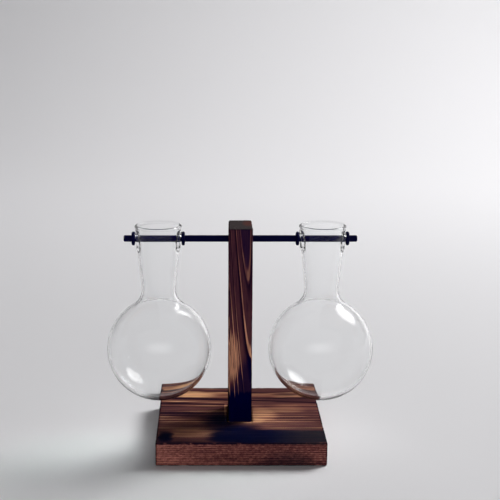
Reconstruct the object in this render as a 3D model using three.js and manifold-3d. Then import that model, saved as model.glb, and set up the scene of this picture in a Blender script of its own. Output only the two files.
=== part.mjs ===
// A pair of hanging bulb vases on a wooden stand. Millimetres, +Z up.
// The origin is the centre of the base's underside, and the rod runs along X.
// Each vase hangs on the rod by two holes pierced through its neck, held in place by a pair of rubber rings.

import * as THREE from 'three';
import { mergeVertices, toCreasedNormals } from 'three/addons/utils/BufferGeometryUtils.js';
import Module from 'manifold-3d';

// Driving dimensions
const FIT_GAP = 0.3;
const CUT_MARGIN = 2;

const BASE_LENGTH = 126;
const BASE_DEPTH = 126;
const BASE_THICKNESS = 18;
const EDGE_EASE = 1;
const CORNER_RADIUS = 2;

const POST_WIDTH = 18;
const POST_DEPTH = 36;
const POST_ABOVE_ROD = 11;
const MORTISE_DEPTH = 5;

const ROD_DIAMETER = 5;
const ROD_OVERHANG = 6;
const ROD_CHAMFER = 0.6;

const BULB_DIAMETER = 80;
const BULB_TO_BASE = 13;
const BULB_TO_POST = 13;
const GLASS_WALL = 1.8;
const SHOULDER_FILLET = 14;
const WAIST_DIAMETER = 26;
const NECK_LENGTH = 50;
const NECK_EASE = 6;
const RIM_DIAMETER = 35.7;
const RIM_ABOVE_ROD = 10.5;
const RIM_EXTRA = 0.8;
const RIM_FLARE = THREE.MathUtils.degToRad(4);
const RIM_FLARE_RUN = 24;
const HOLE_PLAY = 4;
const LIP_EXTRA = 1.5;

const RING_SECTION = 2.5;

const SCREW_LENGTH = 35;
const SCREW_SHANK = 3.6;
const SCREW_HEAD = 7.6;
const SCREW_HEAD_RIM = 0.5;
const SCREW_TIP = 4;
const SCREW_SINK = 0.6;
const SCREW_INSET = 9;
const RECESS_SPAN = 4;
const RECESS_SLOT = 1;
const RECESS_DEPTH = 1.8;

// Facet counts
const GLASS_SIDES = 32;
const BULB_STEPS = 11;
const FILLET_STEPS = 4;
const NECK_STEPS = 4;
const BEAD_STEPS = 5;
const ROD_SIDES = 24;
const RING_SIDES = 24;
const SECTION_SIDES = 12;
const SCREW_SIDES = 20;
const CORNER_STEPS = 2;
const CREASE = THREE.MathUtils.degToRad(35);

// Sizes that follow from the driving dimensions
const rodRadius = ROD_DIAMETER / 2;
const bulbRadius = BULB_DIAMETER / 2;
const waistRadius = WAIST_DIAMETER / 2;
const beadRadius = (GLASS_WALL + RIM_EXTRA) / 2;
const lipRadius = (GLASS_WALL + LIP_EXTRA) / 2;
const holeRadius = (ROD_DIAMETER + HOLE_PLAY) / 2;

// The shoulder fillet touches the ball of the bulb and the upright waist of the neck.
const filletReach = waistRadius + SHOULDER_FILLET;
const filletRise = Math.sqrt((bulbRadius + SHOULDER_FILLET) ** 2 - filletReach ** 2);
const filletAngle = Math.atan2(filletRise, filletReach);

// Heights inside a vase are measured from the rod's axis, on which it hangs.
const waistHeight = RIM_ABOVE_ROD - NECK_LENGTH;
const bulbHeight = waistHeight - filletRise;
const rodHeight = BASE_THICKNESS + BULB_TO_BASE + bulbRadius - bulbHeight;
const holeHeight = rodRadius + FIT_GAP - holeRadius;

const vaseOffset = POST_WIDTH / 2 + BULB_TO_POST + bulbRadius;
const mortiseFloor = BASE_THICKNESS - MORTISE_DEPTH;
const postTop = rodHeight + POST_ABOVE_ROD;
const postHeight = postTop - mortiseFloor;
const screwOffset = POST_DEPTH / 2 - SCREW_INSET;

const wasm = await Module();
wasm.setup();

// Solids from three.js geometry, and back again after the cuts
function solid(geometry) {
  const bare = new THREE.BufferGeometry();
  bare.setAttribute('position', geometry.getAttribute('position'));
  bare.setIndex(geometry.getIndex());
  const merged = mergeVertices(bare);
  const corners = merged.getIndex().array;
  const triVerts = [];
  for (let i = 0; i < corners.length; i += 3) {
    const [a, b, c] = corners.slice(i, i + 3);
    if (a !== b && b !== c && c !== a) triVerts.push(a, b, c);
  }
  const vertProperties = merged.getAttribute('position').array;
  return new wasm.Manifold(new wasm.Mesh({ numProp: 3, vertProperties, triVerts: new Uint32Array(triVerts) }));
}

function mesh(name, body, material) {
  const { vertProperties, triVerts } = body.getMesh();
  const geometry = new THREE.BufferGeometry();
  geometry.setAttribute('position', new THREE.BufferAttribute(vertProperties, 3));
  geometry.setIndex(new THREE.BufferAttribute(triVerts, 1));
  const piece = new THREE.Mesh(toCreasedNormals(geometry, CREASE), material);
  piece.name = name;
  return piece;
}

// Shapes that several pieces share
function boardOutline(width, depth, corner) {
  const x = width / 2 - corner;
  const y = depth / 2 - corner;
  const outline = new THREE.Shape();
  outline.absarc(x, y, corner, 0, Math.PI / 2);
  outline.absarc(-x, y, corner, Math.PI / 2, Math.PI);
  outline.absarc(-x, -y, corner, Math.PI, 1.5 * Math.PI);
  outline.absarc(x, -y, corner, 1.5 * Math.PI, 2 * Math.PI);
  outline.closePath();
  return outline;
}

// A sawn board standing on z = 0 with its edges sanded round
function easedBoard(width, depth, height) {
  const geometry = new THREE.ExtrudeGeometry(boardOutline(width, depth, CORNER_RADIUS), {
    depth: height - 2 * EDGE_EASE,
    bevelSize: EDGE_EASE,
    bevelOffset: -EDGE_EASE,
    bevelThickness: EDGE_EASE,
    bevelSegments: CORNER_STEPS,
    curveSegments: CORNER_STEPS,
  });
  return solid(geometry.translate(0, 0, EDGE_EASE));
}

// A profile of (radius, height) points turned about Z
function turned(points, sides) {
  return solid(new THREE.LatheGeometry(points, sides).rotateX(Math.PI / 2));
}

function cylinderAlongX(radius, length, sides) {
  return solid(new THREE.CylinderGeometry(radius, radius, length, sides).rotateZ(Math.PI / 2));
}

function ringAlongX(radius, section, around, along) {
  return new THREE.TorusGeometry(radius, section, around, along).rotateY(Math.PI / 2);
}

// Countersunk wood screw, head down. The same profile grown by a gap gives the holes that it goes into.
function screwProfile(gap, mouth) {
  const head = SCREW_HEAD / 2 + gap;
  const shank = SCREW_SHANK / 2 + gap;
  const coneStart = SCREW_SINK + SCREW_HEAD_RIM;
  const coneEnd = coneStart + head - shank;
  const end = SCREW_SINK + SCREW_LENGTH + gap;
  return [
    new THREE.Vector2(0, mouth),
    new THREE.Vector2(head, mouth),
    new THREE.Vector2(head, coneStart),
    new THREE.Vector2(shank, coneEnd),
    new THREE.Vector2(shank, end - SCREW_TIP),
    new THREE.Vector2(0, end),
  ];
}

function screwHole(y) {
  return turned(screwProfile(FIT_GAP, -CUT_MARGIN), SCREW_SIDES).translate([0, y, 0]);
}

function screw(y) {
  const recessHeight = RECESS_DEPTH + CUT_MARGIN;
  const recessTop = SCREW_SINK + RECESS_DEPTH;
  let body = turned(screwProfile(0, SCREW_SINK), SCREW_SIDES);
  for (const [x, z] of [[RECESS_SPAN, RECESS_SLOT], [RECESS_SLOT, RECESS_SPAN]]) {
    const slot = new THREE.BoxGeometry(x, z, recessHeight);
    body = body.subtract(solid(slot.translate(0, 0, recessTop - recessHeight / 2)));
  }
  return body.translate([0, y, 0]);
}

// Base board: a mortise takes the post's foot, and two screws come up through its floor.
function baseBoard() {
  const mortise = new THREE.BoxGeometry(
    POST_WIDTH + 2 * FIT_GAP,
    POST_DEPTH + 2 * FIT_GAP,
    MORTISE_DEPTH + CUT_MARGIN,
  ).translate(0, 0, mortiseFloor + (MORTISE_DEPTH + CUT_MARGIN) / 2);
  return easedBoard(BASE_LENGTH, BASE_DEPTH, BASE_THICKNESS)
    .subtract(solid(mortise))
    .subtract(screwHole(-screwOffset))
    .subtract(screwHole(screwOffset));
}

// Upright post: a plank stood on edge in the mortise, bored across for the rod.
function uprightPost() {
  const bore = cylinderAlongX(rodRadius + FIT_GAP, POST_WIDTH + 2 * CUT_MARGIN, ROD_SIDES);
  return easedBoard(POST_WIDTH, POST_DEPTH, postHeight)
    .translate([0, 0, mortiseFloor])
    .subtract(bore.translate([0, 0, rodHeight]))
    .subtract(screwHole(-screwOffset))
    .subtract(screwHole(screwOffset));
}

// The neck's wall from the waist to the bead of the rim, pushed inwards by a wall thickness for its inside
const beadCentre = new THREE.Vector2(RIM_DIAMETER / 2 - beadRadius, RIM_ABOVE_ROD - beadRadius);
const beadStart = Math.acos(GLASS_WALL / 2 / beadRadius);

function neckCurve(inset) {
  const top = new THREE.Vector2(
    beadCentre.x + GLASS_WALL / 2 - inset,
    beadCentre.y - beadRadius * Math.sin(beadStart),
  );
  const handle = new THREE.Vector2(-Math.sin(RIM_FLARE), -Math.cos(RIM_FLARE)).multiplyScalar(RIM_FLARE_RUN);
  return new THREE.CubicBezierCurve(
    new THREE.Vector2(waistRadius - inset, waistHeight),
    new THREE.Vector2(waistRadius - inset, waistHeight + NECK_EASE),
    top.clone().add(handle),
    top,
  );
}

// Radius of the neck's outside at a height, found by halving the curve
function neckRadius(height) {
  const curve = neckCurve(0);
  let low = 0;
  let high = 1;
  while (high - low > 1e-6) {
    const middle = (low + high) / 2;
    if (curve.getPoint(middle).y < height) low = middle;
    else high = middle;
  }
  return curve.getPoint(low).x;
}

// One wall of the blown vase as a closed profile: up the outside, over the bead and down the inside
function vaseProfile() {
  const arc = (x, y, r, from, to, clockwise) => new THREE.EllipseCurve(x, y, r, r, from, to, clockwise);
  const inner = GLASS_WALL;
  const waistAngle = Math.PI;
  const touchAngle = filletAngle + Math.PI;
  const bottom = -Math.PI / 2;
  const outside = [
    [arc(0, bulbHeight, bulbRadius, bottom, filletAngle, false), BULB_STEPS],
    [arc(filletReach, waistHeight, SHOULDER_FILLET, touchAngle, waistAngle, true), FILLET_STEPS],
    [neckCurve(0), NECK_STEPS],
    [arc(beadCentre.x, beadCentre.y, beadRadius, -beadStart, Math.PI + beadStart, false), BEAD_STEPS],
  ];
  const inside = [
    [arc(0, bulbHeight, bulbRadius - inner, bottom, filletAngle, false), BULB_STEPS],
    [arc(filletReach, waistHeight, SHOULDER_FILLET + inner, touchAngle, waistAngle, true), FILLET_STEPS],
    [neckCurve(inner), NECK_STEPS],
  ];
  const trace = (runs) => runs.flatMap(([curve, steps], i) => curve.getPoints(steps).slice(i ? 1 : 0));
  const points = [...trace(outside), ...trace(inside).reverse().slice(1)];
  points[0].x = 0;
  points[points.length - 1].x = 0;
  return points;
}

// The holes are pierced hot, so each has a rolled lip, thicker than the wall and lying along its slope.
const lipReach = holeRadius + lipRadius;
const lipTop = neckRadius(holeHeight + lipReach);
const lipFoot = neckRadius(holeHeight - lipReach);
const lipTilt = Math.atan2(lipTop - lipFoot, 2 * lipReach);
const lipWall = neckRadius(holeHeight) - GLASS_WALL / 2;
const lipSag = (lipWall - Math.sqrt(lipWall ** 2 - lipReach ** 2)) / 2;
const lipCentre = lipWall - lipSag;
const lipFace = lipCentre + lipRadius + lipReach * Math.sin(lipTilt);

function vase() {
  const cut = cylinderAlongX(lipReach, RIM_DIAMETER + 2 * CUT_MARGIN, GLASS_SIDES);
  let body = turned(vaseProfile(), GLASS_SIDES).subtract(cut.translate([0, 0, holeHeight]));
  for (const side of [-1, 1]) {
    const lip = ringAlongX(lipReach, lipRadius, SECTION_SIDES, RING_SIDES);
    lip.rotateY(side * lipTilt).translate(side * lipCentre, 0, holeHeight);
    body = body.add(solid(lip));
  }
  return body;
}

// Rod: round bar with chamfered ends, long enough to carry the outer rings
const ringOffset = lipFace + FIT_GAP + RING_SECTION / 2;
const rodLength = 2 * (vaseOffset + ringOffset + RING_SECTION / 2 + ROD_OVERHANG);

function hangingRod() {
  const end = rodLength / 2;
  const profile = [
    new THREE.Vector2(0, -end),
    new THREE.Vector2(rodRadius - ROD_CHAMFER, -end),
    new THREE.Vector2(rodRadius, ROD_CHAMFER - end),
    new THREE.Vector2(rodRadius, end - ROD_CHAMFER),
    new THREE.Vector2(rodRadius - ROD_CHAMFER, end),
    new THREE.Vector2(0, end),
  ];
  return solid(new THREE.LatheGeometry(profile, ROD_SIDES).rotateZ(-Math.PI / 2));
}

function rubberRing() {
  const section = RING_SECTION / 2;
  return solid(ringAlongX(rodRadius + FIT_GAP + section, section, SECTION_SIDES, RING_SIDES));
}

// Finishes
const finish = {
  baseWood: { color: 0x4a2a20, roughness: 0.75, metalness: 0 },
  postWood: { color: 0x35201d, roughness: 0.8, metalness: 0 },
  blackPaint: { color: 0x0b0b10, roughness: 0.45, metalness: 0.4 },
  rubber: { color: 0x0a0a0d, roughness: 0.85, metalness: 0 },
  glass: { color: 0xe9efee, roughness: 0.03, metalness: 0, transparent: true, opacity: 0.3 },
  zincSteel: { color: 0xa9a9a4, roughness: 0.35, metalness: 1 },
};
const material = (name) => new THREE.MeshStandardMaterial(finish[name]);

// Assembly: the stand, then all that hangs on the rod
const stand = new THREE.Group();
stand.add(mesh('base_board', baseBoard(), material('baseWood')));
stand.add(mesh('upright_post', uprightPost(), material('postWood')));
stand.add(mesh('front_screw', screw(-screwOffset), material('zincSteel')));
stand.add(mesh('rear_screw', screw(screwOffset), material('zincSteel')));

const hung = new THREE.Group();
hung.position.z = rodHeight;
hung.add(mesh('hanging_rod', hangingRod(), material('blackPaint')));
for (const [side, sign] of [['left', -1], ['right', 1]]) {
  const glass = mesh(`${side}_vase`, vase(), material('glass'));
  const inner = mesh(`${side}_inner_ring`, rubberRing(), material('rubber'));
  const outer = mesh(`${side}_outer_ring`, rubberRing(), material('rubber'));
  glass.position.x = sign * vaseOffset;
  inner.position.x = sign * (vaseOffset - ringOffset);
  outer.position.x = sign * (vaseOffset + ringOffset);
  hung.add(glass, inner, outer);
}

const assembly = new THREE.Group();
assembly.name = 'hanging_bulb_vases';
assembly.add(stand, hung);

export default assembly;
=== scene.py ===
# %% [markdown]
# # Hanging bulb vases on a scorched pine stand
#
# Two blown-glass bulbs hang from a black rod. The rod goes through an upright plank, and the plank stands
# in a mortise in a square base board. The construction model already has every piece at its real size and
# place. This lesson dresses it: the boards get grain that can be felt as well as seen, the glass its rolled
# holes and rim, and the small black parts their paint and rubber.

# %% Load the construction model
import math
from functools import reduce
from types import SimpleNamespace

import bmesh
import bpy
import numpy as np
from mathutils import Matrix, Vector


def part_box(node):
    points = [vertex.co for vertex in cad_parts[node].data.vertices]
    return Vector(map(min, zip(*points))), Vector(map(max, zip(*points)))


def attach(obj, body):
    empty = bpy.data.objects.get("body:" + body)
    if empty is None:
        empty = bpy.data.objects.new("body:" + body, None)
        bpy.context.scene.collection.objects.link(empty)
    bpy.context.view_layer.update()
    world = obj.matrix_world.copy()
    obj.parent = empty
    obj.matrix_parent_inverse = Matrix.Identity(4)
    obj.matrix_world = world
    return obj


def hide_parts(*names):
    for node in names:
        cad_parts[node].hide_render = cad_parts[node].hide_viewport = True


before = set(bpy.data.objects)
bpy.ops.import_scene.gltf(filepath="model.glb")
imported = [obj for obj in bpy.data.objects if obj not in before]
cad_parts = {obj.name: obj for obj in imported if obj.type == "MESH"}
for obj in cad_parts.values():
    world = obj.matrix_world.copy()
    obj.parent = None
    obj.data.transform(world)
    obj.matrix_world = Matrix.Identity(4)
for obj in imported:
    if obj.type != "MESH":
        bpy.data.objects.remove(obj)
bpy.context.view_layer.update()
MM = 0.001


def middle_and_half(node):
    """The middle of a node's box and half its size along each axis, in metres."""
    low, high = np.array(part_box(node))
    return (low + high) / 2, (high - low) / 2


rod_middle, rod_half = middle_and_half("hanging_rod")
rod_height = rod_middle[2]

# %% [markdown]
# ## The camera
#
# The photograph was taken from the front with a long lens, a little above the rod: the depth edges of the
# base run nearly parallel, and the rims look flat. Place and focal length were fitted to points measured in
# it. A camera wants its lens in millimetres on a 36 mm sensor, so the focal length in pixels is scaled by
# the picture's width. The shift moves the lens axis to where the depth edges meet.

# %% Place the camera
PICTURE_SIDE = 500
FOCAL_PIXELS = 1200
LENS_AXIS_PIXEL = 210.2
SENSOR = 36
CAMERA_PLACE = (-0.0228, -0.8884, 0.3388)
CAMERA_PITCH = math.radians(12.1)


def add_object(name, data):
    made = bpy.data.objects.new(name, data)
    bpy.context.collection.objects.link(made)
    return made


lens = bpy.data.cameras.new("camera")
lens.sensor_width = SENSOR
lens.lens = FOCAL_PIXELS / PICTURE_SIDE * SENSOR
lens.shift_x = (PICTURE_SIDE / 2 - LENS_AXIS_PIXEL) / PICTURE_SIDE
camera = add_object("camera", lens)
camera.location = CAMERA_PLACE
camera.rotation_euler = (math.pi / 2 - CAMERA_PITCH, 0, 0)
bpy.context.scene.camera = camera
print("lens", round(lens.lens, 1), "mm, shift", round(lens.shift_x, 3))

# %% [markdown]
# ## Sums that become nodes
#
# Wood grain is a formula: rings around the heart of a tree, bent by noise. Built node by node, it would be
# hard to read, so two small classes let it be written as ordinary sums. `Kit` adds any kind of node to one
# tree. Materials and Geometry Nodes share these nodes, so one formula can colour a board and carve it.

# %% A kit of nodes
class Kit:
    def __init__(self, tree):
        self.tree = tree

    def node(self, kind, sockets=None, **settings):
        made = self.tree.nodes.new(kind)
        for name, value in settings.items():
            setattr(made, name, value)
        for key, value in (sockets or {}).items():
            if isinstance(value, (Field, bpy.types.NodeSocket)):
                self.tree.links.new(getattr(value, "socket", value), made.inputs[key])
            else:
                made.inputs[key].default_value = value
        return made

    def field(self, kind, sockets=None, output=0, **settings):
        return Field(self, self.node(kind, sockets, **settings).outputs[output])

    def math(self, operation, *values):
        return self.field("ShaderNodeMath", dict(enumerate(values)), operation=operation)

    def vector(self, x, y, z):
        return self.field("ShaderNodeCombineXYZ", {0: x, 1: y, 2: z})

    def split(self, vector):
        parts = self.node("ShaderNodeSeparateXYZ", {0: vector}).outputs
        return [Field(self, part) for part in parts]

    def scaled(self, vector, factor):
        return self.field("ShaderNodeVectorMath", {0: vector, "Scale": factor}, operation="SCALE")

    def noise(self, vector, detail=2.0, rough=0.5, scale=1.0):
        sockets = {"Vector": vector, "Scale": scale, "Detail": detail, "Roughness": rough}
        return self.field("ShaderNodeTexNoise", sockets)

    def blend(self, share, low, high):
        return self.field("ShaderNodeMix", {0: share, 6: low, 7: high}, output=2, data_type="RGBA")

    def bump(self, height, strength, distance):
        sockets = {"Height": height, "Strength": strength, "Distance": distance}
        return self.field("ShaderNodeBump", sockets)


def methods(kind):
    return [name for name in vars(kind) if not name.startswith("_")]


print("the kit adds:", *methods(Kit))

# %% [markdown]
# `Field` wraps an output socket, a value that changes over a surface. Each operator becomes a Math node, so
# `2 * a + b` makes a Multiply and an Add node and links them. The reflected forms are for sums that start
# with a plain number.

# %% Sockets that can be added up
def math_method(operation, reflected=False):
    """A method that joins a field with other values, if any, in one Math node."""
    def method(self, *others):
        values = (*others, self) if reflected else (self, *others)
        return self.kit.math(operation, *values)
    return method


class Field:
    def __init__(self, kit, socket):
        self.kit = kit
        self.socket = socket

    __add__ = math_method("ADD")
    __radd__ = math_method("ADD", reflected=True)
    __sub__ = math_method("SUBTRACT")
    __rsub__ = math_method("SUBTRACT", reflected=True)
    __mul__ = math_method("MULTIPLY")
    __rmul__ = math_method("MULTIPLY", reflected=True)
    __truediv__ = math_method("DIVIDE")
    __pow__ = math_method("POWER")
    __abs__ = math_method("ABSOLUTE")
    root = math_method("SQRT")
    fraction = math_method("FRACT")
    floor = math_method("FLOOR")
    larger = math_method("MAXIMUM")

    def step(self, low, high):
        """0 up to low, 1 from high on, and a smooth rise between them."""
        sockets = {0: self, 1: low, 2: high, 3: 0.0, 4: 1.0}
        return self.kit.field("ShaderNodeMapRange", sockets, interpolation_type="SMOOTHSTEP")


print("a field knows:", *methods(Field))

# %% [markdown]
# Colours are easiest to read off a screen, as three numbers up to 255, but shading works in linear light,
# so one helper converts them. The others start a material with the place on its piece in millimetres, and
# close it. Object coordinates stay with a piece when it moves, so the grain never swims.

# %% Colours and materials
def colour(red, green, blue):
    """A screen colour, 0 to 255 a channel, in linear light."""
    def linear(part):
        part /= 255
        return part / 12.92 if part <= 0.04045 else ((part + 0.055) / 1.055) ** 2.4
    return (linear(red), linear(green), linear(blue), 1.0)


def millimetres(kit, place):
    return kit.scaled(place, 1 / MM)


def empty_tree(owner):
    owner.use_nodes = True
    owner.node_tree.nodes.clear()
    return Kit(owner.node_tree)


def new_material(name):
    material = bpy.data.materials.new(name)
    kit = empty_tree(material)
    return material, kit, millimetres(kit, kit.node("ShaderNodeTexCoord").outputs["Object"])


def principled(kit, sockets):
    return kit.node("ShaderNodeBsdfPrincipled", sockets)


def close_material(kit, shader):
    kit.node("ShaderNodeOutputMaterial", {"Surface": shader.outputs[0]})


print("screen grey 128 in linear light:", round(colour(128, 128, 128)[0], 3))

# %% [markdown]
# ## The studio
#
# The object stands on a pale sheet of paper that curves up behind it. A floor and a wall would meet in a
# line, and one sheet with a wide bend leaves no horizon. It is a strip of quads along a bent line, and
# faint clouds keep it from looking like plastic.

# %% Hang the paper sweep
SWEEP_HALF_WIDTH = 3.5
SWEEP_FRONT = -3.5
SWEEP_BACK = 1.2
SWEEP_RADIUS = 1.8
SWEEP_TOP = 3.0
SWEEP_STEPS = 24
PAPER_TONES = (colour(233, 232, 234), colour(237, 236, 238))
PAPER_ROUGHNESS = 0.9


def make_object(name, points, faces, material=None):
    mesh = bpy.data.meshes.new(name)
    mesh.from_pydata([tuple(point) for point in points], [], [tuple(face) for face in faces])
    mesh.update()
    if material:
        mesh.materials.append(material)
    return add_object(name, mesh)


def pale_paper():
    material, kit, place = new_material("paper_sweep")
    tone = kit.blend(kit.noise(place, detail=4), *PAPER_TONES)
    close_material(kit, principled(kit, {"Base Color": tone, "Roughness": PAPER_ROUGHNESS}))
    return material


turn = [math.pi / 2 * i / SWEEP_STEPS for i in range(SWEEP_STEPS + 1)]
bend = [(SWEEP_BACK + SWEEP_RADIUS * math.sin(a), SWEEP_RADIUS * (1 - math.cos(a))) for a in turn]
line = [(SWEEP_FRONT, 0.0), *bend, (SWEEP_BACK + SWEEP_RADIUS, SWEEP_TOP)]
points = [(x, y, z) for y, z in line for x in (-SWEEP_HALF_WIDTH, SWEEP_HALF_WIDTH)]
faces = [(2 * i, 2 * i + 1, 2 * i + 3, 2 * i + 2) for i in range(len(line) - 1)]
sweep = make_object("sweep", points, faces, pale_paper())
sweep.data.shade_smooth()
print("sweep:", len(faces), "quads")

# %% [markdown]
# The light in the photograph comes from a large window on the right and a little behind, as the shadows
# show. So the main lamp is a large soft square far off on that side. A weaker lamp lights the backdrop, and
# a wide one in front lifts the dark wood. Glass mirrors its lamps, so every lamp fades towards its border
# and leaves no hard-edged patch.

# %% Set the lamps
LAMP_FADE = 0.45
LAMP_GAIN = 3.0


def soften(light):
    """Fades a lamp towards its border, by the place on the lamp that a ray starts from."""
    kit = empty_tree(light)
    u, v, _ = kit.split(kit.node("ShaderNodeNewGeometry").outputs["Parametric"])
    sides = [part.step(0.0, LAMP_FADE) * part.step(1.0, 1.0 - LAMP_FADE) for part in (u, v)]
    shine = kit.node("ShaderNodeEmission", {"Color": sides[0] * sides[1], "Strength": LAMP_GAIN})
    kit.node("ShaderNodeOutputLight", {"Surface": shine.outputs[0]})


def make_lamp(name, place, target, size, power, spread=180):
    light = bpy.data.lights.new(name, "AREA")
    light.shape = "RECTANGLE"
    light.size, light.size_y = size
    light.energy = power
    light.spread = math.radians(spread)
    soften(light)
    lamp = add_object(name, light)
    lamp.location = place
    lamp.rotation_euler = (Vector(target) - Vector(place)).to_track_quat("-Z", "Y").to_euler()
    print(name, "lamp:", power, "W")


make_lamp("window", place=(2.1, 1.48, 2.2), target=(0.1, 0.2, 0.08), size=(2.2, 2.2), power=67, spread=140)
make_lamp("backdrop", place=(0.8, 0.6, 2.0), target=(0.3, 2.5, 0.5), size=(2.2, 1.4), power=4.5, spread=110)
make_lamp("fill", place=(0.1, -2.2, 0.8), target=(0.0, 0.0, 0.08), size=(4.0, 1.6), power=13)

# %% [markdown]
# A dim world keeps the shadows deep. But at its edges glass bends and mirrors the view round to the walls
# of the room, and a dark room would draw heavy black outlines. The Light Path node tells these rays apart,
# so they meet paler walls. The camera itself sees the tone of the paper's far border, so the sheet ends
# without a line.

# %% Light the room
ROOM_DIM = (0.03, 0.03, 0.033, 1.0)
ROOM_IN_GLASS = (0.55, 0.55, 0.56, 1.0)
ROOM_SEEN = colour(106, 105, 107)

world = bpy.data.worlds.new("studio")
kit = empty_tree(world)
ray = kit.node("ShaderNodeLightPath").outputs
walls = kit.blend(ray["Is Transmission Ray"], ROOM_DIM, ROOM_IN_GLASS)
walls = kit.blend(ray["Is Glossy Ray"], walls, ROOM_IN_GLASS)
walls = kit.blend(ray["Is Camera Ray"], walls, ROOM_SEEN)
room = kit.node("ShaderNodeBackground", {"Color": walls})
kit.node("ShaderNodeOutputWorld", {"Surface": room.outputs[0]})
bpy.context.scene.world = world
bpy.context.scene.view_settings.view_transform = "Standard"
print("world:", len(world.node_tree.nodes), "nodes")

# %% [markdown]
# ## Pine that has grown
#
# A plank is cut out of a tree, so one formula serves all its faces: the distance from the heart, divided by
# the width of a year's growth. Its whole part counts the years, and its fraction runs from soft spring wood
# to the hard line of late wood. A heart that leans against the plank makes the long pointed arches of a
# flat-sawn face. A picture of wood would break at every edge, and the formula runs round them.

# %% The grain formula
LINE_FULL = 0.92
LINE_FADES = 0.96
FURROW_ENDS = 0.3


def grain_noise(kit, along, side, deep, stretch, fineness, detail=2.0, rough=0.5):
    """Noise drawn out along the grain. Stretch and fineness are spots per millimetre along and across."""
    return kit.noise(kit.vector(along * stretch, side * fineness, deep * fineness), detail, rough)


def pine(kit, along, side, deep, heart, lean, year, late, shift, wander):
    """The figure of a plank at a place given along, across and into the grain, in millimetres."""
    drift = grain_noise(kit, along, side, deep, 0.014, 0.06, detail=1) - 0.5
    across = side - heart[0] - along * lean[0]
    depth = deep - heart[1] - along * lean[1]
    radius = (across * across + depth * depth).root() + drift * (2 * wander)
    thick_and_thin = kit.noise(kit.vector(radius * 0.2, shift, 0.0), detail=1)
    growth = radius / year + shift + thick_and_thin * 1.4
    phase = growth.fraction()
    patchy = grain_noise(kit, along, side, deep, 0.025, 0.2).step(0.3, 0.7)
    luck = kit.field("ShaderNodeTexWhiteNoise", {"W": growth.floor()}, noise_dimensions="1D")
    hard = phase.step(late, LINE_FULL) * phase.step(1.0, LINE_FADES)
    soft = phase.step(FURROW_ENDS, 0.0) * phase.step(0.0, 0.05)
    return SimpleNamespace(
        radius=radius,
        line=hard * (0.4 + luck * 0.6) * (0.35 + patchy * 0.65),
        furrow=soft * (1.0 - luck * 0.6),
        fibre=grain_noise(kit, along, side, deep, 0.06, 2.2, detail=3, rough=0.62),
    )


BASE_GRAIN = dict(heart=(44, 150), lean=(0, 0), year=1.35, late=0.58, shift=0.3, wander=0.5)
POST_GRAIN = dict(heart=(12.2, -6.64), lean=(-0.051, -0.041), year=2.9, late=0.8, shift=0.23, wander=0.7)


def base_pine(kit, place):
    x, y, z = kit.split(place)
    return pine(kit, x, y, z, **BASE_GRAIN)


def post_pine(kit, place):
    x, y, z = kit.split(place)
    return pine(kit, z, x, y, **POST_GRAIN)


print("year rings:", BASE_GRAIN["year"], "mm in the base,", POST_GRAIN["year"], "mm in the post")

# %% [markdown]
# ## Patches on a face
#
# A torch leaves soft-edged patches. Painted on an image they would be fixed. Here each one is an oval
# placed in millimetres on its face, so a changed number moves it. A higher power makes the oval squarer,
# and where patches overlap, the strongest counts.

# %% Ovals with a soft border
def patch(u, v, centre, half, soft=1.0, power=2.0, depth=1.0):
    """As much as depth inside an oval, falling to 0 over its soft border."""
    across = abs((u - centre[0]) / half[0]) ** power
    down = abs((v - centre[1]) / half[1]) ** power
    return (across + down).step(1 + soft, max(0.0, 1 - soft)) * depth


def strongest(marks):
    return reduce(Field.larger, marks)


def patches(u, v, table):
    return strongest([patch(u, v, **row) for row in table])


base_low_mm, base_high_mm = np.array(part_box("base_board")) / MM
post_low_mm, post_high_mm = np.array(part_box("upright_post")) / MM
base_end, _, base_top = base_high_mm
base_front = base_low_mm[1]
post_half_width, post_half_depth, post_top = post_high_mm
print("far corners: base", base_high_mm.round(1), "post", post_high_mm.round(1), "mm")

# %% [markdown]
# Handling and sanding take most from the edges of a board. One mask finds the edges, where two of the three
# coordinates come close to the faces, and noise picks the worn stretches. The finish and the relief both
# read it, so a worn edge is paler and rounder in the same places. The finishes also paint every edge a little
# darker, as painted shade: the dark outline of the front and the contact line at its foot.

# %% Worn edges
EDGE_BAND = 1.7
WEAR_FINENESS = 0.11


def worn_edges(kit, place, low, high):
    """Two masks for a board between two corners in millimetres: its edges, painted darker as shade, and their
    worn stretches.
    """
    near = []
    for part, start, end in zip(kit.split(place), low, high):
        at_start = part.step(start + EDGE_BAND, start + EDGE_BAND * 0.3)
        near.append(at_start.larger(part.step(end - EDGE_BAND, end - EDGE_BAND * 0.3)))
    edge = strongest([near[0] * near[1], near[1] * near[2], near[0] * near[2]])
    chance = kit.noise(place, detail=4, rough=0.6, scale=WEAR_FINENESS)
    return edge, edge * chance.step(0.5, 0.68)


print("edges are", EDGE_BAND, "mm wide")

# %% [markdown]
# ## Scorched finishes
#
# Torched pine is dull, a little smoother where it is charred, and the fibres catch the light. One shader
# serves both boards: a rough surface with hardly any shine, and a shallow bump from the same grain that
# gives the colour. One number, the tone of the wood, reads the colour off a ramp.

# %% A shader for wood
WOOD_ROUGHNESS = 0.68
WOOD_SHINE = 0.002
WOOD_BUMP = dict(strength=0.25, distance=0.4 * MM)
RAMP_PLACES = (0.0, 0.25, 0.5, 1.0)


def ramp(kit, tone, colours):
    made = kit.node("ShaderNodeValToRGB", {0: tone})
    for place in RAMP_PLACES[1:-1]:
        made.color_ramp.elements.new(place)
    for element, shade in zip(made.color_ramp.elements, colours):
        element.color = shade
    return Field(kit, made.outputs[0])


def wood_shader(kit, paint, char, grain):
    height = grain.line * 0.5 + grain.fibre * 0.5
    close_material(kit, principled(kit, {
        "Base Color": paint,
        "Roughness": WOOD_ROUGHNESS + grain.fibre * 0.2 - char * 0.1,
        "Normal": kit.bump(height, **WOOD_BUMP),
        "Specular IOR Level": WOOD_SHINE,
    }))


print("wood ramps have stops at", RAMP_PLACES)

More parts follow.
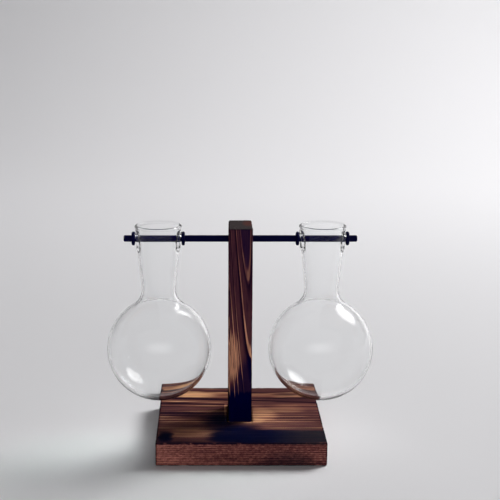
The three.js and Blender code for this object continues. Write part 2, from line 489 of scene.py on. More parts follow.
# %% [markdown]
# The torch was not even. On the base it left a black band along the front edge, a patch in the front left
# corner, a cloud at the foot of the post and a smudge at the back, and it singed the front edge all along.
# Noise that runs with the grain breaks up the borders. Masks keep the marks of the top off the front face.

# %% Scorch the base
BLACK_BAND = dict(centre=(24, -49), half=(48, 13.6), soft=0.4, power=4)
BLACK_CORNER = dict(centre=(-56, -50), half=(5.5, 11), power=3)
TOP_CLOUDS = (
    dict(centre=(-14, -15), half=(14, 17)),
    dict(centre=(-6, -34), half=(20, 11)),
    dict(centre=(39, 46), half=(11, 4), depth=0.6),
)
FRONT_KISS = dict(centre=(33, 2), half=(18, 9), depth=0.6)


def on_base_top(z):
    return z.step(base_top - 1.6, base_top - 0.5)


def on_base_front(y):
    return y.step(base_front + 1.6, base_front + 0.4)


def base_scorch(kit, x, y, z):
    ragged = (grain_noise(kit, x, y, z, 0.05, 0.3, detail=3) - 0.5) * 12
    u = x + ragged
    v = y + ragged * 0.22
    band = patch(u, v, **BLACK_BAND) * (1.0 - x.step(22, 50) * 0.1)
    corner = patch(x + ragged * 0.5, v, **BLACK_CORNER)
    top = strongest([band, corner, patches(u, v, TOP_CLOUDS)])
    nicks = (kit.noise(kit.vector(x * 0.35, 0.0, 0.0), detail=3) - 0.5) * 3
    singed = (z + nicks).step(base_top - 2.0, base_top - 0.8) * 0.8
    front = singed.larger(patch(u, z, **FRONT_KISS))
    return (top * on_base_top(z)).larger(front * on_base_front(y))


print("scorch marks on the base:", len(TOP_CLOUDS) + 3)

# %% [markdown]
# Between the marks the flame spared the wood: right of the post, in the back left corner, in the front, in a
# strip along the grain, and close round the foot of the post, which shaded the board. Elsewhere it caught a
# softer year and left a dark streak. Strip and streaks follow the slope of the grain across the board.

# %% Spared patches and dark streaks
GRAIN_SLOPE = 0.0875
SPARED = (
    dict(centre=(16, 0), half=(13, 15)),
    dict(centre=(34, 10), half=(16, 9), depth=0.55),
    dict(centre=(-35, 44), half=(15, 7), depth=0.75),
    dict(centre=(13, -12), half=(6, 8)),
    dict(centre=(-36, -43), half=(24, 9), depth=0.72),
)
SPARED_STRIP = dict(centre=(-38, 24.5), half=(26, 1.4), soft=0.7, power=4, depth=0.7)
SPARED_BY_POST = (
    dict(centre=(-10.4, 3), half=(1.5, 19), soft=0.6, power=4, depth=0.9),
    dict(centre=(1.5, -19.4), half=(11, 1.1), soft=0.6, power=4, depth=0.7),
)
DARK_STREAKS = (
    dict(centre=(0, 31.5), half=(85, 2), soft=0.7, power=4),
    dict(centre=(-32, 19.5), half=(30, 1.6), soft=0.8, power=4, depth=0.8),
    dict(centre=(-50, -5), half=(22, 6)),
    dict(centre=(27, 40), half=(26, 6), depth=0.3),
)


def base_spared(kit, x, y, z):
    u = x + (grain_noise(kit, x, y, z, 0.04, 0.5) - 0.5) * 14
    strip = patch(u, y + x * GRAIN_SLOPE, **SPARED_STRIP)
    marks = [patches(u, y, SPARED), strip, patches(x, y, SPARED_BY_POST)]
    return strongest(marks) * on_base_top(z)


def base_streaks(kit, x, y, z):
    ragged = (grain_noise(kit, x, y, z, 0.03, 0.5) - 0.5) * 12
    v = y + x * GRAIN_SLOPE + ragged * 0.1
    return patches(x + ragged, v, DARK_STREAKS) * on_base_top(z)


print("spared patches:", len(SPARED) + len(SPARED_BY_POST) + 1, "dark streaks:", len(DARK_STREAKS))

# %% [markdown]
# The tone of the base is a sum of fibres, lines and furrows, broad clouds, spared and streaked places, and
# wear, each with its share, less a painted shade along every edge. The front is a sawn edge, so it has a
# short rough grain, and it grows darker to the right. Its tone is lifted as painted light, for a face that
# stands in shade. The top's ramp is greyer than the front's, a painted sheen, so the front looks redder. On
# its right the black band is painted greyer, as a painted sheen. The mortise was cut after the torch, so its
# wood is raw.

# %% The finish of the base
RAW_PINE = colour(190, 140, 96)
CHAR = colour(2, 6, 33)
# Painted sheen: the greyer colour the black band turns to on its right.
CHAR_SHEEN_GREY = colour(34, 35, 42)
# The top's ramp is greyer than the front's: a painted sheen.
SHEENED_TOP_TONES = (colour(34, 18, 30), colour(82, 49, 50), colour(126, 80, 67), colour(220, 166, 122))
FRONT_TONES = (colour(34, 14, 30), colour(82, 43, 47), colour(126, 75, 70), colour(220, 141, 126))
BASE_SHARES = SimpleNamespace(
    # The front share is painted light for the shaded front faces, and the edge share is painted shade.
    fibre=0.48, line=0.78, furrow=0.36, broad=0.6, spared=0.42, streaks=0.36, sawn=1.1, worn=0.5, edge=0.4,
    front=0.37, front_to_right=0.0021, to_back=0.0013, start=-0.03,
)


def raw_inside(x, y, z):
    """1 on the walls and the floor of the mortise."""
    inside = abs(x).step(post_half_width + 0.55, post_half_width + 0.35)
    return inside * abs(y).step(post_half_depth + 0.55, post_half_depth + 0.35) * z.step(5, 6)


def base_tone(kit, x, y, z, grain, edge, worn):
    share = BASE_SHARES
    front = on_base_front(y)
    broad = grain_noise(kit, x, y, z, 0.012, 0.09) - 0.5
    sawn = (grain_noise(kit, x, y, z, 0.45, 0.9, detail=3, rough=0.7) - 0.5) * front
    tone = grain.fibre * share.fibre + broad * share.broad + sawn * share.sawn
    tone = tone + grain.line * (share.line - front * 0.3)
    tone = tone - grain.furrow * (share.furrow + front * (0.25 + x * 0.008))
    tone = tone + base_spared(kit, x, y, z) * share.spared - base_streaks(kit, x, y, z) * share.streaks
    # Worn edges are paler; the whole edge band is darker, a painted shade.
    tone = tone + worn * share.worn - edge * share.edge
    # The front share is painted light: it lifts the front faces, which stand in shade; they darken to the
    # right.
    return tone + front * (share.front - x * share.front_to_right) + y * share.to_back + share.start


def base_wood():
    material, kit, place = new_material("scorched_base_pine")
    x, y, z = kit.split(place)
    grain = base_pine(kit, place)
    edge, worn = worn_edges(kit, place, base_low_mm, base_high_mm)
    tone = base_tone(kit, x, y, z, grain, edge, worn)
    # Painted sheen: the top reads its colour off the greyer ramp, the front off the plain one.
    wood = kit.blend(on_base_front(y), ramp(kit, tone, SHEENED_TOP_TONES), ramp(kit, tone, FRONT_TONES))
    char = base_scorch(kit, x, y, z) * (1.0 - grain.line * 0.06) * (1.0 - worn * 0.6)
    # Painted sheen on the right of the black band.
    painted_sheen = x.step(16, 58) * (grain.fibre * 2.0 - 0.2) + grain.line * 0.12
    burnt = kit.blend(char, wood, kit.blend(painted_sheen, CHAR, CHAR_SHEEN_GREY))
    wood_shader(kit, kit.blend(raw_inside(x, y, z), burnt, RAW_PINE), char, grain)
    return material


base_finish = base_wood()
print("finish of the base:", len(base_finish.node_tree.nodes), "nodes")

# %% [markdown]
# The heart of the tree runs close under the front of the post and leans away from it, so the innermost rings
# come out as a long pointed arch at the top right. The arch is darker inside. From the foot the flame
# climbed in black fingers that follow the grain, and the foot itself is black all round.

# %% Scorch the post
HEART_RADIUS = 6.4
HEART_DARKNESS = 0.58
CLIMB_DARKNESS = 0.8


def post_scorch(kit, x, y, z, grain):
    fingers = (kit.noise(kit.vector(x * 0.5, y * 0.5, z * 0.03), detail=3) - 0.5) * 18 + grain.line * 30
    climb = (z - x * 2.0 + fingers).step(66, 52) * CLIMB_DARKNESS
    foot = (z + fingers * 0.2).step(48, 40)
    heart = grain.radius.step(HEART_RADIUS, HEART_RADIUS - 1.2) * HEART_DARKNESS
    return strongest([climb, foot, heart])


print("the arch is", HEART_RADIUS, "mm from the heart")

# %% [markdown]
# Downwards the flame dried the wood and its lines get paler, and low on the left of the front a streaky tan
# patch was spared. The top is end grain, which weathers grey and keeps a rusty stain. The soot is painted as
# a shaded and a lit copy: bluish on the front, which stands in shade, and a plainer, darker black on the
# sides, which take brighter light.

# %% The finish of the post
# Soot in two copies for light: the front's for shade, the sides' for brighter light.
SHADED_FRONT_SOOT = colour(2, 3, 54)
LIT_SIDE_SOOT = colour(9, 7, 24)
RUST = colour(112, 62, 54)
END_TONES = (colour(54, 48, 50), colour(104, 95, 94))
POST_TONES = (colour(27, 9, 33), colour(68, 35, 51), colour(122, 73, 72), colour(224, 160, 126))
POST_SHARES = SimpleNamespace(
    # The edge share is painted shade along the edges.
    fibre=0.42, line=0.5, dry_line=0.95, furrow=0.5, worn=0.2, edge=0.1, dried=0.07, start=0.07,
)
POST_SPARED = dict(centre=(-7.4, 69), half=(6.4, 17))
RUST_STAIN = dict(centre=(6, 4), half=(4, 10))


def post_tone(x, y, z, grain, edge, worn):
    share = POST_SHARES
    dried = z.step(135, 70)
    spared = patch(x, z, **POST_SPARED) * y.step(0, -10)
    tone = grain.fibre * share.fibre + grain.line * (share.line + dried * share.dry_line)
    tone = tone - grain.furrow * share.furrow + spared * (grain.fibre * 3.0 - 0.9)
    # Worn edges are paler; the edge band is painted darker as shade.
    return tone + worn * share.worn - edge * share.edge + dried * share.dried + share.start


def post_wood():
    material, kit, place = new_material("scorched_post_pine")
    x, y, z = kit.split(place)
    grain = post_pine(kit, place)
    edge, worn = worn_edges(kit, place, post_low_mm, post_high_mm)
    wood = ramp(kit, post_tone(x, y, z, grain, edge, worn), POST_TONES)
    end_grain = z.step(post_top - 1.0, post_top - 0.3)
    weathered = kit.blend(grain.line * 0.7 + grain.fibre * 0.4, *END_TONES)
    stained = kit.blend(patch(x, y, **RUST_STAIN) * grain.fibre, weathered, RUST)
    bare = kit.blend(end_grain, wood, stained)
    # Painted light: the lit sides take a plainer, darker soot than the shaded front.
    on_lit_side = abs(x).step(post_half_width - 1.2, post_half_width - 0.3)
    char = post_scorch(kit, x, y, z, grain) * (1.0 - end_grain)
    wood_shader(kit, kit.blend(char, bare, kit.blend(on_lit_side, SHADED_FRONT_SOOT, LIT_SIDE_SOOT)), char, grain)
    return material


post_finish = post_wood()
print("finish of the post:", len(post_finish.node_tree.nodes), "nodes")

# %% [markdown]
# ## Boards with a surface
#
# A brushed board is not flat: the soft wood is worn down between the hard lines, and the edges are sanded
# round. A box cut into a fine lattice has enough points for that. It is close across the grain, where the
# relief changes quickly, and wide along it. Cells that are left out make the mortise.

# %% A lattice of cells
EDGE_EASE = 1.0
EASE_STEPS = 3


def ticks(low, high, pitch, marks=()):
    """Lattice lines in millimetres: close at both eased ends, then even, and exactly on each mark."""
    ease = [EDGE_EASE * i / EASE_STEPS for i in range(EASE_STEPS)]
    stops = [low + EDGE_EASE, *sorted(marks), high - EDGE_EASE]
    lines = [low + e for e in ease] + [high - e for e in ease] + [high - EDGE_EASE]
    for start, end in zip(stops, stops[1:]):
        count = max(1, round((end - start) / pitch))
        lines += [start + (end - start) * i / count for i in range(count)]
    return np.array(sorted(set(round(line, 4) for line in lines)))


def lattice_surface(xs, ys, zs, empty=None):
    """Points and outward quads between the filled cells of a lattice and the air."""
    centres = np.meshgrid(*[(t[1:] + t[:-1]) / 2 for t in (xs, ys, zs)], indexing="ij")
    filled = np.pad(~empty(*centres) if empty else np.ones(centres[0].shape, bool), 1)
    number = np.arange(len(xs) * len(ys) * len(zs)).reshape(len(xs), len(ys), len(zs))
    quads = []
    for axis in range(3):
        first = np.moveaxis(filled, axis, 0)
        index = np.moveaxis(number, axis, 0)
        for low_side in (True, False):
            here, there = (first[1:], first[:-1]) if low_side else (first[:-1], first[1:])
            i, j, k = np.nonzero((here & ~there)[:, 1:-1, 1:-1])
            loop = [index[i, j, k], index[i, j + 1, k], index[i, j + 1, k + 1], index[i, j, k + 1]]
            flip = low_side != (axis == 1)
            quads.append(np.stack(loop[::-1] if flip else loop, axis=1))
    used, faces = np.unique(np.concatenate(quads), return_inverse=True)
    grid = np.stack(np.meshgrid(xs, ys, zs, indexing="ij"), axis=-1).reshape(-1, 3)
    return grid[used], faces.reshape(-1, 4)


print("lattice lines of a 10 mm board:", [float(t) for t in ticks(0, 10, 2)])

# %% [markdown]
# A sharp box looks like a drawing, so points near an outer edge are pulled onto a small radius, which
# leaves the faces flat. The base has the mortise, with the fit of the post round it. The post is a plain
# plank that stands on the mortise floor.

# %% Saw the two boards
POST_FIT = 0.3
mortise_x = post_half_width + POST_FIT
mortise_y = post_half_depth + POST_FIT
mortise_floor = post_low_mm[2]


def ease_edges(points, low, high):
    core = np.clip(points, low + EDGE_EASE, high - EDGE_EASE)
    out = points - core
    length = np.maximum(np.linalg.norm(out, axis=1, keepdims=True), EDGE_EASE)
    return core + out * EDGE_EASE / length


def board(name, lines, empty=None):
    points, faces = lattice_surface(*lines, empty)
    low, high = [np.array([t[end] for t in lines]) for end in (0, -1)]
    print(name, "lattice:", len(points), "points,", len(faces), "quads")
    return make_object(name, ease_edges(points, low, high) * MM, faces)


def in_mortise(x, y, z):
    return (abs(x) < mortise_x) & (abs(y) < mortise_y) & (z > mortise_floor)


base_board = board("pine_base", (
    ticks(-base_end, base_end, 2.2, (-mortise_x, mortise_x)),
    ticks(base_front, -base_front, 0.45, (-mortise_y, mortise_y)),
    ticks(0.0, base_top, 0.6, (mortise_floor,)),
), in_mortise)
upright_post = board("pine_post", (
    ticks(-post_half_width, post_half_width, 0.4),
    ticks(-post_half_depth, post_half_depth, 0.5),
    ticks(mortise_floor, post_top, 2.2),
))

# %% [markdown]
# Relief could be sculpted, or painted as a height map. A Geometry Nodes tree is better here: it sinks each
# point by the same formula that colours it, so line and ridge agree. A tree has named inputs, ends in real
# geometry with its material, and its result is kept as a plain mesh.

# %% Trees for shapes
def new_tree(name, inputs):
    """A geometry tree: its kit, the incoming geometry, its number inputs as fields, and their ids."""
    tree = bpy.data.node_groups.new(name, "GeometryNodeTree")
    add = tree.interface.new_socket
    add("Geometry", in_out="INPUT", socket_type="NodeSocketGeometry")
    add("Geometry", in_out="OUTPUT", socket_type="NodeSocketGeometry")
    ids = [add(word, in_out="INPUT", socket_type="NodeSocketFloat").identifier for word in inputs]
    kit = Kit(tree)
    entry = kit.node("NodeGroupInput")
    fields = [Field(kit, entry.outputs[word]) for word in inputs]
    return kit, entry.outputs["Geometry"], fields, ids


def end_tree(kit, geometry, material):
    real = kit.node("GeometryNodeRealizeInstances", {0: geometry})
    sockets = {"Geometry": real.outputs[0], "Material": material}
    painted = kit.node("GeometryNodeSetMaterial", sockets)
    kit.node("NodeGroupOutput", {"Geometry": painted.outputs[0]})


def keep_result(made, modifier):
    depsgraph = bpy.context.evaluated_depsgraph_get()
    result = bpy.data.meshes.new_from_object(made.evaluated_get(depsgraph))
    made.modifiers.remove(modifier)
    made.data = result


def run_tree(made, kit, ids, values):
    modifier = made.modifiers.new("shape", "NODES")
    modifier.node_group = kit.tree
    for name, value in zip(ids, values):
        modifier[name] = value
    keep_result(made, modifier)


print("geometry trees so far:", len(bpy.data.node_groups))

# %% [markdown]
# The brush has taken a little out of the soft wood, less out of the fibres, and most off the worn edges. The
# offset only goes inwards, so a board never grows past its real size.

# %% Brush the boards
BRUSH_DEPTHS = {"Soft wood depth": 0.16, "Fibre depth": 0.07, "Edge wear": 0.45}


def brush(made, figure, low, high, material):
    kit, geometry, depths, ids = new_tree(made.name + "_brush", list(BRUSH_DEPTHS))
    soft_depth, fibre_depth, edge_wear = depths
    place = millimetres(kit, kit.node("GeometryNodeInputPosition").outputs[0])
    grain = figure(kit, place)
    _, worn = worn_edges(kit, place, low, high)
    sink = (1.0 - grain.line) * soft_depth + grain.fibre * fibre_depth + worn * edge_wear
    inwards = kit.scaled(kit.node("GeometryNodeInputNormal").outputs[0], sink * -1.0)
    moved = kit.node("GeometryNodeSetPosition", {"Geometry": geometry, "Offset": inwards})
    end_tree(kit, moved.outputs[0], material)
    run_tree(made, kit, ids, [depth * MM for depth in BRUSH_DEPTHS.values()])
    made.data.shade_smooth()
    print(made.name, "brushed:", len(made.data.polygons), "faces")


brush(base_board, base_pine, base_low_mm, base_high_mm, base_finish)
brush(upright_post, post_pine, post_low_mm, post_high_mm, post_finish)

# %% [markdown]
# The post is bored for the rod, and the base is drilled from below for its two screws. A lattice has no
# round holes, so a turned cutter and a Boolean modifier make them. The cut can leave points in the middle
# of a straight edge. Those are dissolved, so that every edge still joins two faces.

# %% Turning and cutting
TURN_SIDES = 64


def turned(name, profile, material=None, axis="Z"):
    """A closed solid from (radius, height) points in millimetres that start and end on the axis."""
    rows = profile[1:-1]
    angles = [2 * math.pi * (i + 0.5) / TURN_SIDES for i in range(TURN_SIDES)]
    points = [(r * math.cos(a), r * math.sin(a), h) for r, h in rows for a in angles]
    points += [(0, 0, profile[0][1]), (0, 0, profile[-1][1])]
    foot, tip = len(points) - 2, len(points) - 1
    last = (len(rows) - 1) * TURN_SIDES
    faces = []
    for i in range(TURN_SIDES):
        j = (i + 1) % TURN_SIDES
        for row in range(0, last, TURN_SIDES):
            above = row + TURN_SIDES
            faces.append((row + i, row + j, above + j, above + i))
        faces += [(foot, j, i), (tip, last + i, last + j)]
    if axis == "X":
        points = [(z, x, y) for x, y, z in points]
    return make_object(name, [Vector(point) * MM for point in points], faces, material)


def both_ways(profile):
    """A profile from the tip to the middle, and back to the other tip."""
    return [(r, -h) for r, h in profile] + profile[::-1]


def shift_mesh(made, x, y, z):
    for vertex in made.data.vertices:
        vertex.co += Vector((x, y, z))


def cut(made, cutter):
    modifier = made.modifiers.new("cut", "BOOLEAN")
    modifier.operation = "DIFFERENCE"
    modifier.solver = "EXACT"
    modifier.object = cutter
    keep_result(made, modifier)
    bpy.data.objects.remove(cutter)
    shape = bmesh.new()
    shape.from_mesh(made.data)
    between = [vertex for vertex in shape.verts if len(vertex.link_edges) == 2]
    bmesh.ops.dissolve_verts(shape, verts=between)
    shape.to_mesh(made.data)
    shape.free()
    print(made.name, "cut:", len(made.data.polygons), "faces")


rod_radius = rod_half[2] / MM
print("rod radius", round(rod_radius, 2), "mm")

# %% [markdown]
# The bore is a little wider than the rod. A screw hole starts as wide as the screw's head, narrows in a cone,
# and goes on as wide as the shank, up into the mortise. The screw's box gives its place and its head.

# %% Bore the post and drill the base
BORE_GAP = 0.3
BORE_OVERRUN = 2
SCREW_GAP = 0.3
SCREW_SHANK = 1.8
SCREW_RIM = 0.5
SCREWS = ("front_screw", "rear_screw")

bore = rod_radius + BORE_GAP
reach = post_half_width + BORE_OVERRUN
cutter = turned("bore_cutter", both_ways([(0, reach), (bore, reach)]), axis="X")
shift_mesh(cutter, 0, 0, rod_height)
cut(upright_post, cutter)

for node in SCREWS:
    middle, half = middle_and_half(node)
    head = half[0] / MM + SCREW_GAP
    shank = SCREW_SHANK + SCREW_GAP
    cone = (middle[2] - half[2]) / MM + SCREW_RIM
    top = mortise_floor + 1
    profile = [(0, -1), (head, -1), (head, cone), (shank, cone + head - shank), (shank, top), (0, top)]
    cutter = turned("screw_cutter", profile)
    shift_mesh(cutter, 0, middle[1], 0)
    cut(base_board, cutter)

# %% [markdown]
# ## Blown glass
#
# Each vase is blown as a ball with a neck, and its rim is melted to a bead. It is round, so it is a line
# turned about an axis: arcs for the ball, the shoulder and the bead, and a curve for the neck. The inside
# is a second line, a wall's thickness further in, and more at the foot, where the glass has sagged.

# %% The glass wall
BULB_RADIUS = 40.0
FILLET = 14.0
WAIST_RADIUS = 13.0
NECK_LENGTH = 50.0
NECK_EASE = 6.0
RIM_RADIUS = 17.85
RIM_RISE = 10.5
RIM_FLARE = math.radians(4)
RIM_FLARE_RUN = 24.0
WALL = 1.8
FOOT_WALL = 2.6
BEAD_RADIUS = 1.3
GLASS_SIDES = 128
BULB_ROWS = 64
FILLET_ROWS = 14
NECK_ROWS = 60
BEAD_ROWS = 14

fillet_reach = WAIST_RADIUS + FILLET
fillet_rise = math.sqrt((BULB_RADIUS + FILLET) ** 2 - fillet_reach ** 2)
fillet_angle = math.atan2(fillet_rise, fillet_reach)
waist_height = RIM_RISE - NECK_LENGTH
bulb_height = waist_height - fillet_rise
bead_start = math.acos(WALL / 2 / BEAD_RADIUS)
bead_centre = (RIM_RADIUS - BEAD_RADIUS, RIM_RISE - BEAD_RADIUS)
neck_top = (bead_centre[0] + WALL / 2, bead_centre[1] - BEAD_RADIUS * math.sin(bead_start))


def arc(centre, radius, start, end, rows):
    angles = np.linspace(start, end, rows + 1)
    return centre + radius * np.stack([np.cos(angles), np.sin(angles)], axis=1)


def neck_line():
    """The outside of the neck at even heights, from a curve that starts upright and ends along the flare."""
    t = np.linspace(0, 1, 400)[:, None]
    handle = neck_top - RIM_FLARE_RUN * np.array([math.sin(RIM_FLARE), math.cos(RIM_FLARE)])
    controls = [(WAIST_RADIUS, waist_height), (WAIST_RADIUS, waist_height + NECK_EASE), handle, neck_top]
    weights = [(1 - t) ** 3, 3 * t * (1 - t) ** 2, 3 * t * t * (1 - t), t ** 3]
    curve = sum(weight * control for weight, control in zip(weights, controls))
    heights = np.linspace(waist_height, neck_top[1], NECK_ROWS + 1)
    return np.stack([np.interp(heights, curve[:, 1], curve[:, 0]), heights], axis=1)


def skin(inset):
    """Rows of (radius, height) up one side of the wall, from the foot to the bead."""
    bulb = arc((0, bulb_height), BULB_RADIUS - inset, -math.pi / 2, fillet_angle, BULB_ROWS)
    touch = fillet_angle + math.pi
    shoulder = arc((fillet_reach, waist_height), FILLET + inset, touch, math.pi, FILLET_ROWS)
    neck = neck_line() - (inset, 0)
    return np.concatenate([bulb, shoulder[1:], neck[1:]])


outside = skin(0)
inside = skin(WALL)
inside[:, 1] += np.clip((bulb_height - inside[:, 1]) / BULB_RADIUS, 0, 1) ** 2 * (FOOT_WALL - WALL)
bead = arc(bead_centre, BEAD_RADIUS, -bead_start, math.pi + bead_start, BEAD_ROWS)
wall_rows = np.concatenate([outside, bead[1:-1], inside[::-1]])
row_count = len(wall_rows)
print("glass profile:", row_count, "rows, height", round(float(np.ptp(wall_rows[:, 1])), 1), "mm")

# %% [markdown]
# The two holes in a neck are pierced while the glass is hot, so their edges roll up. A Boolean would leave
# slivers, and glass shows every flaw in its mesh. So the square of wall round a hole is bent into a circle.
# The larger of a point's steps across and up tells which square ring it is on: rings inside the hole are
# dropped, the first one left becomes the circle, and the next few fade back to the plain wall, which swells
# towards the lip.

# %% Bend the wall round the holes
HOLE_RADIUS = 4.5
LIP_RADIUS = 1.65
ROD_SEAT_GAP = 0.3
HOLE_CELLS = 8
FADE_CELLS = 12
HOLE_COLUMNS = (0, GLASS_SIDES // 2)
COLUMN_TURN = 2 * math.pi / GLASS_SIDES
hole_height = rod_radius + ROD_SEAT_GAP - HOLE_RADIUS
neck_start = BULB_ROWS + FILLET_ROWS
neck_radii, neck_heights = outside[neck_start:].T
hole_row = neck_start + int(np.argmin(abs(neck_heights - hole_height)))
row_step = (neck_top[1] - waist_height) / NECK_ROWS


def bent_place(row, column):
    """Angle, height and swelling of a point of the outside wall near a hole, or None inside the hole."""
    up = row - hole_row
    for hole in HOLE_COLUMNS:
        across = (column - hole + GLASS_SIDES // 2) % GLASS_SIDES - GLASS_SIDES // 2
        ring = max(abs(across), abs(up))
        if ring < HOLE_CELLS:
            return None
        if ring < FADE_CELLS:
            radius = wall_rows[hole_row][0]
            fade = (ring - HOLE_CELLS) / (FADE_CELLS - HOLE_CELLS)
            fade = fade * fade * (3 - 2 * fade)
            circle = HOLE_RADIUS + LIP_RADIUS + (ring - HOLE_CELLS) * row_step
            turn = math.atan2(up, across)
            u = (1 - fade) * circle * math.cos(turn) + fade * across * COLUMN_TURN * radius
            v = (1 - fade) * circle * math.sin(turn) + fade * up * row_step
            swell = (1 - fade) ** 2 * (LIP_RADIUS - WALL / 2)
            return hole * COLUMN_TURN + u / radius, hole_height + v, swell
    return column * COLUMN_TURN, wall_rows[row][1], 0.0


print("hole at row", hole_row, "and", round(-hole_height, 2), "mm under the rod's axis")

# %% [markdown]
# The whole wall is now one table of places by row and column. A row of the inside follows its twin on the
# outside, so that both edges of a hole lie face to face.

# %% Place the points of the glass
def glass_places():
    places = {}
    for row in range(1, row_count - 1):
        inner = row >= len(outside) + BEAD_ROWS - 1
        twin = row_count - 1 - row if inner else row
        near_hole = neck_start <= twin < len(outside) and abs(twin - hole_row) < FADE_CELLS
        for column in range(GLASS_SIDES):
            radius, height = wall_rows[row]
            angle = column * COLUMN_TURN
            if near_hole:
                spot = bent_place(twin, column)
                if not spot:
                    continue
                angle, height, swell = spot
                radius = np.interp(height, neck_heights, neck_radii)
                radius += -WALL - swell if inner else swell
            places[row, column] = (radius * math.cos(angle), radius * math.sin(angle), height)
    places["foot"] = (0, 0, wall_rows[0][1])
    places["well"] = (0, 0, wall_rows[-1][1])
    return places


wall_places = glass_places()
print("glass wall:", len(wall_places), "points")

# %% [markdown]
# A half-round lip joins the outside to the inside round each hole. It is stepped from the outer edge to the
# inner one, and bulges towards the middle of the hole. That keeps clean quads everywhere.

# %% Join the glass
LIP_STEPS = 14


def roll_lip(points, number, hole):
    """Adds the points of the lip round a hole, and returns its faces."""
    side = [(HOLE_CELLS, i) for i in range(-HOLE_CELLS, HOLE_CELLS)]
    loop = side + [(-v, u) for u, v in side] + [(-u, -v) for u, v in side] + [(v, -u) for u, v in side]
    rings = []
    for across, up in loop:
        column = (hole + across) % GLASS_SIDES
        outer = number[hole_row + up, column]
        inner = number[row_count - 1 - hole_row - up, column]
        a, b = np.array(points[outer]), np.array(points[inner])
        middle, half = (a + b) / 2, (a - b) / 2
        radius = np.linalg.norm(half)
        towards = np.array([0, -middle[1], hole_height - middle[2]])
        towards -= half * towards.dot(half) / radius ** 2
        towards *= radius / np.linalg.norm(towards)
        strip = [outer]
        for step in range(1, LIP_STEPS):
            turn = math.pi * step / LIP_STEPS
            points.append(tuple(middle + half * math.cos(turn) + towards * math.sin(turn)))
            strip.append(len(points) - 1)
        rings.append(strip + [inner])
    faces = []
    for this, after in zip(rings, rings[1:] + rings[:1]):
        faces += [(this[i], after[i], after[i + 1], this[i + 1]) for i in range(LIP_STEPS)]
    return faces


def glass_mesh():
    points = list(wall_places.values())
    number = {key: i for i, key in enumerate(wall_places)}
    faces = []
    for column in range(GLASS_SIDES):
        after = (column + 1) % GLASS_SIDES
        faces.append((number["foot"], number[1, after], number[1, column]))
        faces.append((number["well"], number[row_count - 2, column], number[row_count - 2, after]))
        for row in range(1, row_count - 2):
            corners = [(row, column), (row, after), (row + 1, after), (row + 1, column)]
            if all(corner in number for corner in corners):
                faces.append([number[corner] for corner in corners])
    for hole in HOLE_COLUMNS:
        faces += roll_lip(points, number, hole)
    return np.array(points), faces


glass_points, glass_faces = glass_mesh()
print("one vase:", len(glass_points), "points,", len(glass_faces), "faces")

# %% [markdown]
# Clear glass is one Principled shader with full transmission. Its detail is faint: fingered patches that
# are a trace rougher, and ripples from blowing that bend the view. Thin walls look fainter in the
# photograph than the full index of glass draws them, so the index is low. A path tracer finds few lamp rays
# through glass, so for shadow rays a Transparent shader stands in, and the glass casts a light shadow.

# %% Blow the vases
GLASS_TINTS = (colour(255, 255, 255), colour(254, 255, 255))
THIN_GLASS_INDEX = 1.25
SHADOW_TINT = (0.89, 0.91, 0.90, 1.0)
RIPPLE = dict(strength=0.08, distance=2 * MM)


def clear_glass():
    material, kit, place = new_material("blown_glass")
    smear = kit.noise(place, detail=3, scale=0.06)
    ripple = kit.noise(place, detail=1, scale=0.035)
    glass = principled(kit, {
        "Base Color": kit.blend(smear, *GLASS_TINTS),
        "Roughness": smear.step(0.55, 0.85) * 0.03,
        "IOR": THIN_GLASS_INDEX,
        "Transmission Weight": 1.0,
        "Normal": kit.bump(ripple, **RIPPLE),
    })
    clear = kit.node("ShaderNodeBsdfTransparent", {"Color": SHADOW_TINT})
    lamp_ray = kit.node("ShaderNodeLightPath").outputs["Is Shadow Ray"]
    shaders = {0: lamp_ray, 1: glass.outputs[0], 2: clear.outputs[0]}
    close_material(kit, kit.node("ShaderNodeMixShader", shaders))
    return material


glass_finish = clear_glass()
for side in ("left", "right"):
    node = f"{side}_vase"
    middle, _ = middle_and_half(node)
    hung = glass_points * MM + (middle[0], 0, rod_height)
    vase = make_object(f"blown_{node}", hung, glass_faces, glass_finish)
    vase.data.shade_smooth()
    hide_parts(node)
    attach(vase, node)
    print(vase.name, len(vase.data.polygons), "faces")

# %% [markdown]
# ## Rod, rings and screws
#
# The small parts have plain finishes: satin black paint on the rod, rubber on the rings, zinc on the
# screws. A flat colour would look like plastic, so one recipe gives each of them fine specks of tone, a
# changing roughness and a grain that can be felt. Only the numbers differ.

# %% Black paint, rubber and zinc
SPECK_BUMP = 0.3


def speckled(name, tones, fineness, roughness, gloss, grain_height, metallic=0.0):
    material, kit, place = new_material(name)
    grain = kit.noise(place, detail=4, scale=fineness)
    close_material(kit, principled(kit, {
        "Base Color": kit.blend(grain, *tones),
        "Roughness": roughness[0] + grain * (roughness[1] - roughness[0]),
        "Metallic": metallic,
        "Specular IOR Level": gloss,
        "Normal": kit.bump(grain, SPECK_BUMP, grain_height * MM),
    }))
    print(name, "roughness", roughness)
    return material


black_paint = speckled(
    "satin_black_paint", tones=(colour(2, 2, 40), colour(4, 4, 52)), fineness=1.5,
    roughness=(0.4, 0.6), gloss=0.03, grain_height=0.05,
)
rubber = speckled(
    "black_rubber", tones=(colour(2, 2, 38), colour(5, 5, 50)), fineness=3.0,
    roughness=(0.55, 0.75), gloss=0.03, grain_height=0.08,
)
zinc = speckled(
    "zinc_plate", tones=(colour(150, 148, 140), colour(196, 196, 190)), fineness=2.0,
    roughness=(0.25, 0.45), gloss=0.5, grain_height=0.03, metallic=1.0,
)

# %% [markdown]
# The rod is a round bar with chamfered ends, so it is turned like the cutters, smooth along its length and
# crisp at the chamfers. The screws hide under the base, where the construction model's own shapes are good
# enough, so they only get their finish.

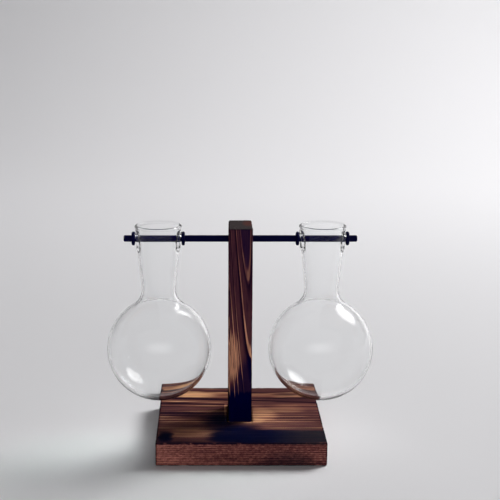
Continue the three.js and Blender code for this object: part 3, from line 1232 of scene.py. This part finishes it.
# %% Turn the rod and dress the screws
ROD_CHAMFER = 0.6
CRISP_ANGLE = math.radians(30)
rod_end = rod_half[0] / MM
thin = rod_radius - ROD_CHAMFER
half_profile = [(0, rod_end), (thin, rod_end), (rod_radius, rod_end - ROD_CHAMFER)]
rod = turned("black_rod", both_ways(half_profile), black_paint, axis="X")
shift_mesh(rod, 0, 0, rod_height)
rod.data.shade_smooth()
rod.data.set_sharp_from_angle(angle=CRISP_ANGLE)
for node in SCREWS:
    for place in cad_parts[node].material_slots:
        place.material = zinc
print("rod length", round(2 * rod_end, 1), "mm")

# %% [markdown]
# The four rubber rings are alike and keep the vases in their places on the rod. Four separate meshes would
# do, but a rule is easier to change: one Geometry Nodes tree sweeps a round section about the rod's axis,
# and its inputs are the radius, the section and the place.

# %% Sweep the rubber rings
RING_SIDES = 64
SECTION_SIDES = 24


def ring_tree(material):
    inputs = ("Radius", "Section", "Place X", "Place Z")
    kit, _, (radius, section, place_x, place_z), ids = new_tree("rubber_ring", inputs)
    circle = "GeometryNodeCurvePrimitiveCircle"
    path = kit.node(circle, {"Resolution": RING_SIDES, "Radius": radius})
    round_section = kit.node(circle, {"Resolution": SECTION_SIDES, "Radius": section})
    swept = kit.node("GeometryNodeCurveToMesh", {0: path.outputs[0], 1: round_section.outputs[0]})
    placed = kit.node("GeometryNodeTransform", {
        "Geometry": swept.outputs[0],
        "Translation": kit.vector(place_x, 0.0, place_z),
        "Rotation": (0.0, math.pi / 2, 0.0),
    })
    end_tree(kit, placed.outputs[0], material)
    return kit, ids


ring_kit, ring_ids = ring_tree(rubber)
for node in [f"{side}_{place}_ring" for side in ("left", "right") for place in ("inner", "outer")]:
    middle, half = middle_and_half(node)
    section = half[0]
    ring = make_object(f"rubber_{node}", [], [])
    run_tree(ring, ring_kit, ring_ids, (half[2] - section, section, middle[0], rod_height))
    ring.data.shade_smooth()
    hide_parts(node)
    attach(ring, node)
print("ring section", round(2 * section / MM, 2), "mm")

# %% [markdown]
# ## Hand the pieces over
#
# Each row names the node a piece stands for, a finish and the body that carries it. The construction piece
# is hidden, and the dressed one rides on its body.

# %% Ride on the bodies
for piece, node, finish, body in (
    (base_board, "base_board", "base_wood", "stand"),
    (upright_post, "upright_post", "post_wood", "stand"),
    (rod, "hanging_rod", "black_rod", "rod"),
):
    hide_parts(node)
    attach(piece, body)
